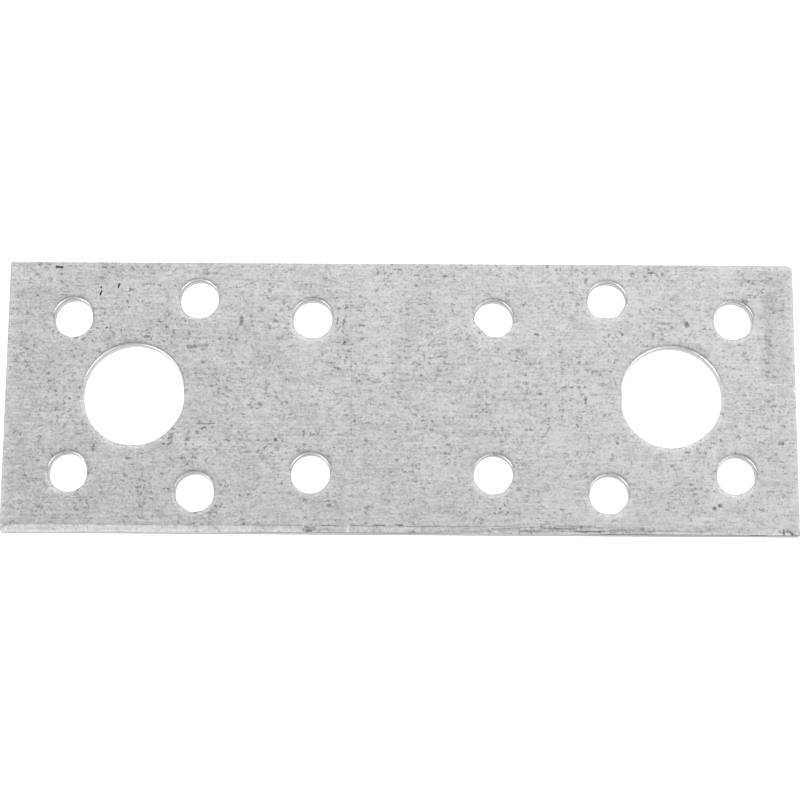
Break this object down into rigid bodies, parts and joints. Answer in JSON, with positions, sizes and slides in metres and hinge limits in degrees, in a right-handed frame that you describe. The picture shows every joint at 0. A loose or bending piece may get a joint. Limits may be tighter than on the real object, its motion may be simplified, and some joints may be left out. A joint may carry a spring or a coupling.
{
  "type": "mending plate",
  "caption": "Flat rectangular perforated steel plate with two large bolt holes and staggered small screw holes, for joining timbers in line.",
  "frame": {"origin": "middle of the hole pattern, on the underside; the cropped ends lie 0.3 mm off it along X, at x = -50.3 mm and x = +49.7 mm", "axes": "+X along the plate's length, +Y across its width with the rolled-over long edge at -Y, +Z out of the face that the punches entered"},
  "size_m": [0.1, 0.035, 0.002],
  "materials": {
    "galvanised_steel": "dull galvanised zinc: pale grey, faint lengthwise rolling grain, fine dark specks, satin rather than shiny, brighter where the sheared edge is rolled over"
  },
  "bodies": {
    "root": {"plate": "galvanised_steel"}
  },
  "joints": []
}
